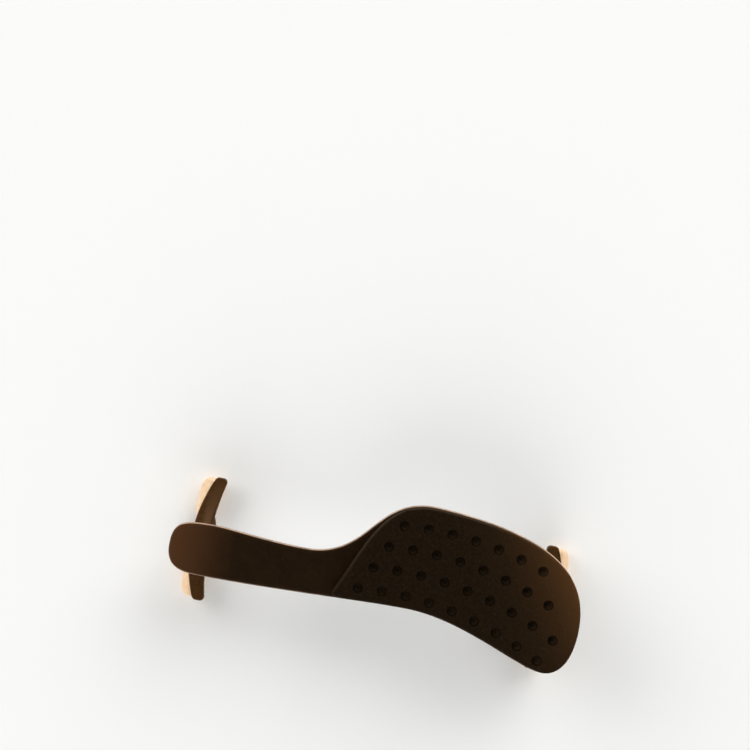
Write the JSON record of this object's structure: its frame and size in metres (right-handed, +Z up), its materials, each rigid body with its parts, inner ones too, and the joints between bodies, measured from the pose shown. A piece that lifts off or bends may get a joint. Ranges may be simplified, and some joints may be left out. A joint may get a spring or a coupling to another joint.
{
  "type": "violin shoulder rest",
  "caption": "Curved violin shoulder rest: a contoured bar with a dimpled foam pad on two folding, height-adjustable feet whose rubber-sleeved hooks grip the edge of the violin's back.",
  "frame": {"origin": "on the table, under the middle of the rest's box; the foot line runs 5 mm to the tail side of it", "axes": "+X along the foot line towards the shoulder end, +Y towards the violin's neck, +Z up, away from the violin"},
  "size_m": [0.235, 0.0819, 0.0634],
  "materials": {
    "bar_nylon": "moulded, fine matte texture",
    "pad_foam": "closed-cell foam with a fine skin",
    "foot_nylon": "moulded, satin",
    "latex": "natural rubber, translucent",
    "steel": "turned",
    "brass": "turned",
    "aluminium": "extruded, satin"
  },
  "bodies": {
    "bar": {"bar": "bar_nylon", "pad": "pad_foam", "chest_rail": "aluminium", "chest_rail_screws": "steel", "chest_rail_inserts": "brass", "shoulder_rail": "aluminium", "shoulder_rail_screws": "steel", "shoulder_rail_inserts": "brass"},
    "chest_carriage": {"chest_carriage": "foot_nylon", "chest_slide_nut": "brass", "chest_hinge_pin": "steel"},
    "chest_clamp": {"chest_clamp_stud": "steel", "chest_clamp_knob": "foot_nylon"},
    "chest_housing": {"chest_housing": "foot_nylon"},
    "chest_wheel": {"chest_height_wheel": "brass"},
    "chest_stem": {"chest_stem": "steel", "chest_washer": "steel", "chest_clip": "steel"},
    "chest_fork": {"chest_fork": "foot_nylon", "chest_neck_sleeve": "latex", "chest_tail_sleeve": "latex"},
    "shoulder_carriage": {"shoulder_carriage": "foot_nylon", "shoulder_slide_nut": "brass", "shoulder_hinge_pin": "steel"},
    "shoulder_clamp": {"shoulder_clamp_stud": "steel", "shoulder_clamp_knob": "foot_nylon"},
    "shoulder_housing": {"shoulder_housing": "foot_nylon"},
    "shoulder_wheel": {"shoulder_height_wheel": "brass"},
    "shoulder_stem": {"shoulder_stem": "steel", "shoulder_washer": "steel", "shoulder_clip": "steel"},
    "shoulder_fork": {"shoulder_fork": "foot_nylon", "shoulder_neck_sleeve": "latex", "shoulder_tail_sleeve": "latex"}
  },
  "joints": [
    {"name": "chest_width", "type": "slide", "parent": "bar", "child": "chest_carriage", "axis": [-1, 0, 0], "range_m": [-0.01, 0.01]},
    {"name": "chest_clamp_turn", "type": "hinge", "parent": "chest_carriage", "child": "chest_clamp", "pos_m": [-0.064, -0.005, 0.03], "axis": [0, 0, -1], "range_deg": [0, 360]},
    {"name": "chest_fold", "type": "hinge", "parent": "chest_carriage", "child": "chest_housing", "pos_m": [-0.08, -0.005, 0.0289], "axis": [0, -1, 0], "range_deg": [0, 90]},
    {"name": "chest_height_turn", "type": "hinge", "parent": "chest_housing", "child": "chest_wheel", "pos_m": [-0.094, -0.005, 0.027], "axis": [0, 0, 1], "range_deg": [-1153, 3601]},
    {"name": "chest_height", "type": "slide", "parent": "chest_housing", "child": "chest_stem", "axis": [0, 0, -1], "range_m": [-0.0032, 0.01]},
    {"name": "chest_swivel", "type": "hinge", "parent": "chest_stem", "child": "chest_fork", "pos_m": [-0.094, -0.005, 0.027], "axis": [0, 0, 1], "range_deg": [-25, 25]},
    {"name": "shoulder_width", "type": "slide", "parent": "bar", "child": "shoulder_carriage", "axis": [1, 0, 0], "range_m": [-0.01, 0.01]},
    {"name": "shoulder_clamp_turn", "type": "hinge", "parent": "shoulder_carriage", "child": "shoulder_clamp", "pos_m": [0.064, -0.005, 0.03], "axis": [0, 0, -1], "range_deg": [0, 360]},
    {"name": "shoulder_fold", "type": "hinge", "parent": "shoulder_carriage", "child": "shoulder_housing", "pos_m": [0.08, -0.005, 0.0289], "axis": [0, 1, 0], "range_deg": [0, 90]},
    {"name": "shoulder_height_turn", "type": "hinge", "parent": "shoulder_housing", "child": "shoulder_wheel", "pos_m": [0.094, -0.005, 0.027], "axis": [0, 0, 1], "range_deg": [-1153, 3601]},
    {"name": "shoulder_height", "type": "slide", "parent": "shoulder_housing", "child": "shoulder_stem", "axis": [0, 0, -1], "range_m": [-0.0032, 0.01]},
    {"name": "shoulder_swivel", "type": "hinge", "parent": "shoulder_stem", "child": "shoulder_fork", "pos_m": [0.094, -0.005, 0.027], "axis": [0, 0, 1], "range_deg": [-25, 25]}
  ],
  "couplings": [
    {"joint": "chest_height_turn", "follows": "chest_height", "rad_per_m": 6283.2},
    {"joint": "shoulder_height_turn", "follows": "shoulder_height", "rad_per_m": 6283.2}
  ]
}
